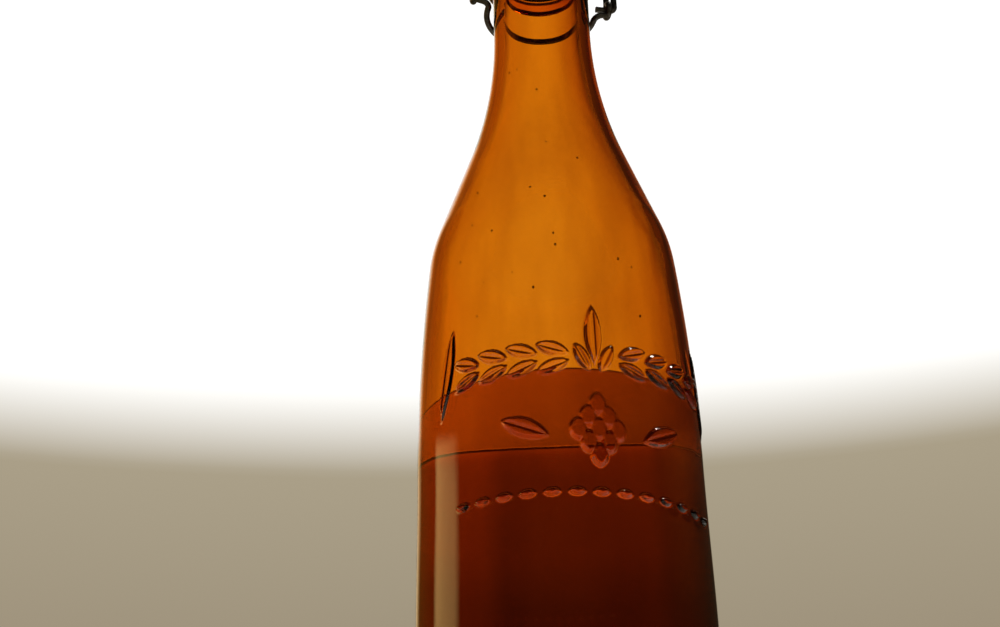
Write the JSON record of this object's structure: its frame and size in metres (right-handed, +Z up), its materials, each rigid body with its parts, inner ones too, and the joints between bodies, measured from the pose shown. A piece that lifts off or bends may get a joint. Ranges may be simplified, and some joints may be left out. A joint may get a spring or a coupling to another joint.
{
  "type": "swing-top beer bottle",
  "caption": "Amber glass beer bottle, part filled, with a raised barley and hop ornament, a wire swing-top closure that opens, and a porcelain stopper with a rubber gasket.",
  "frame": {"origin": "centre of the ring that the bottle stands on, in the plane of the surface under it", "axes": "+Z up along the bottle's axis, -Y towards the front with the ornament, X along the closure's pivots, +Y towards the lever"},
  "size_m": [0.07, 0.0704, 0.2781],
  "materials": {
    "amber_glass": "gloss",
    "beer": "gloss",
    "wire": "satin",
    "porcelain": "gloss",
    "gasket_rubber": "matte"
  },
  "bodies": {
    "bottle": {"bottle": "amber_glass", "beer": "beer", "neckband": "wire"},
    "lever": {"lever": "wire"},
    "bail": {"bail": "wire"},
    "stopper": {"stopper": "porcelain", "gasket": "gasket_rubber"}
  },
  "joints": [
    {"name": "lever_swing", "type": "hinge", "parent": "bottle", "child": "lever", "pos_m": [0, 0, 0.2463], "axis": [1, 0, 0], "range_deg": [0, 85]},
    {"name": "bail_swing", "type": "hinge", "parent": "lever", "child": "bail", "pos_m": [0, -0.0006, 0.2343], "axis": [1, 0, 0], "range_deg": [-62.1, 0]},
    {"name": "stopper_tilt", "type": "hinge", "parent": "bail", "child": "stopper", "pos_m": [0, 0, 0.271], "axis": [1, 0, 0], "range_deg": [-23, 0]}
  ],
  "couplings": [
    {"joint": "bail_swing", "follows": "lever_swing", "ratio": -0.73},
    {"joint": "stopper_tilt", "follows": "lever_swing", "ratio": -0.27}
  ]
}
